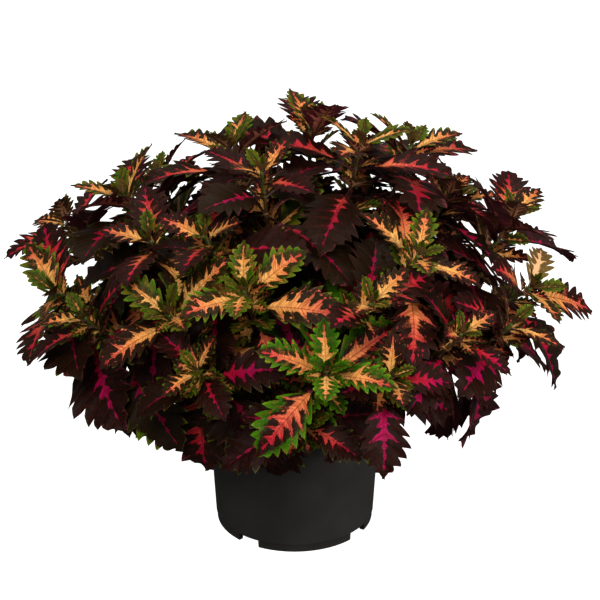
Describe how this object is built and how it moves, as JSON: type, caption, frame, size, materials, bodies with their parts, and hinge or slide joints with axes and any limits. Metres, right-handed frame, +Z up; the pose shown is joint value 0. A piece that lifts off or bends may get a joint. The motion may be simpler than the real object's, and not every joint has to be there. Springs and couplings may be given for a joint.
{
  "type": "potted coleus",
  "caption": "Bushy potted coleus: a rounded mound of square leafy stems with dark, toothed, orange-splashed leaves, rooted in peat in a round black nursery pot",
  "frame": {"origin": "the middle of the pot's foot, on the surface that the pot stands on", "axes": "+Z up; -Y to the front of the plant, the side that the pot's four foot notches are counted from; +X to the plant's right as seen from the front"},
  "size_m": [0.5004, 0.4126, 0.3717],
  "materials": {
    "pot": "satin, faint grain",
    "peat": "loose moist peat, rough",
    "leaf": "living leaf and square stem, soft sheen"
  },
  "bodies": {
    "root": {"pot": "pot", "peat": "peat", "leafy_stem_01": "leaf", "leafy_stem_02": "leaf", "leafy_stem_03": "leaf", "leafy_stem_04": "leaf", "leafy_stem_05": "leaf", "leafy_stem_06": "leaf", "leafy_stem_07": "leaf", "leafy_stem_08": "leaf", "leafy_stem_09": "leaf", "leafy_stem_10": "leaf", "leafy_stem_11": "leaf", "leafy_stem_12": "leaf", "leafy_stem_13": "leaf", "leafy_stem_14": "leaf", "leafy_stem_15": "leaf", "leafy_stem_16": "leaf", "leafy_stem_17": "leaf", "leafy_stem_18": "leaf", "leafy_stem_19": "leaf", "leafy_stem_20": "leaf", "leafy_stem_21": "leaf", "leafy_stem_22": "leaf", "leafy_stem_23": "leaf", "leafy_stem_24": "leaf", "leafy_stem_25": "leaf", "leafy_stem_26": "leaf", "leafy_stem_27": "leaf", "leafy_stem_28": "leaf", "leafy_stem_29": "leaf", "leafy_stem_30": "leaf", "leafy_stem_31": "leaf"}
  },
  "joints": []
}
